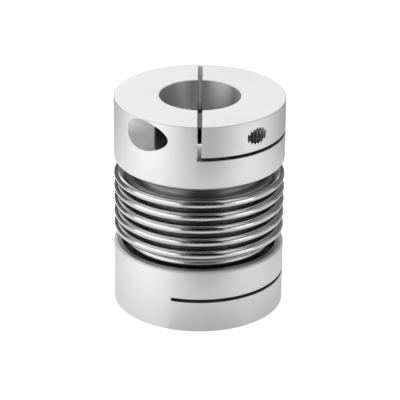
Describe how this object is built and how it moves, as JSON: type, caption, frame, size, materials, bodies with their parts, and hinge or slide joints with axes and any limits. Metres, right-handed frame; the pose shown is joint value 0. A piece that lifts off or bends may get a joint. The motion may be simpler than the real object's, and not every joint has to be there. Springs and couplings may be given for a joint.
{
  "type": "bellows coupling",
  "caption": "Clamping metal bellows coupling: slit aluminium hubs closed by cross cap screws, joined by a corrugated stainless steel bellows, to link two shafts.",
  "frame": {"origin": "centre of the lower hub's end face, on the shaft axis", "axes": "+Z along the shaft axis towards the upper hub; the upper hub's clamp slit faces -Y, the lower hub's faces +Y, and both screw heads face -X"},
  "size_m": [0.04, 0.04, 0.0514],
  "materials": {
    "hub_aluminium": "fine turned satin",
    "bellows_steel": "polished stainless steel",
    "screw_steel": "black oxide"
  },
  "bodies": {
    "root": {"lower_hub": "hub_aluminium", "upper_hub": "hub_aluminium", "bellows": "bellows_steel", "lower_clamp_screw": "screw_steel", "upper_clamp_screw": "screw_steel"}
  },
  "joints": []
}
